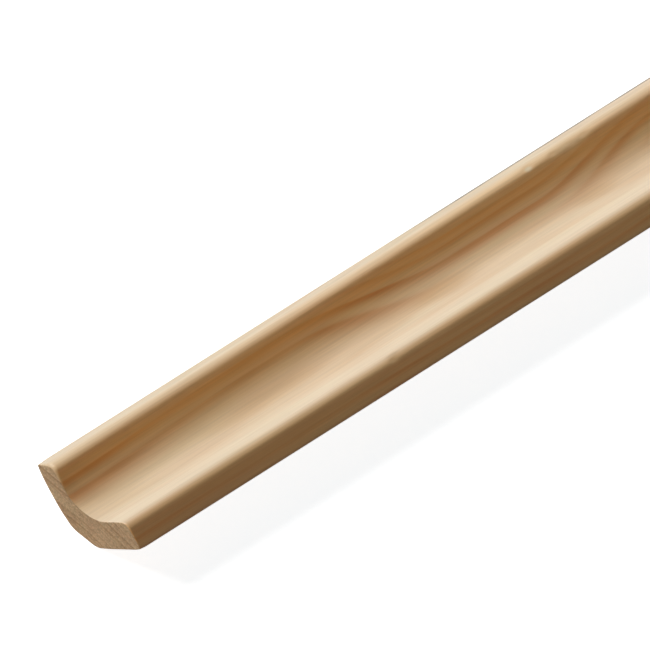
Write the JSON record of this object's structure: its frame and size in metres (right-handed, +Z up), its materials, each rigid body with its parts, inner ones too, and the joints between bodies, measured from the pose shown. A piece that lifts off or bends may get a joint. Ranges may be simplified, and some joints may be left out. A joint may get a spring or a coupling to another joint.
{
  "type": "scotia moulding",
  "caption": "Scotia moulding in planed pine: flat legs at right angles joined by a hollow quarter-round cove, with rounded lips, a bevelled and rounded-off back corner and square-sawn ends.",
  "frame": {"origin": "middle of the bevelled back face, halfway along the length, on the level surface that the moulding lies on", "axes": "+Y along the length, away from the end that the picture shows; +Z up, bisecting the two legs, so the cove opens upwards; +X towards the lip of the floor leg"},
  "size_m": [0.0252, 2.4, 0.0133],
  "materials": {
    "planed_pine": "planed, bare"
  },
  "bodies": {
    "root": {"scotia_moulding": "planed_pine"}
  },
  "joints": []
}
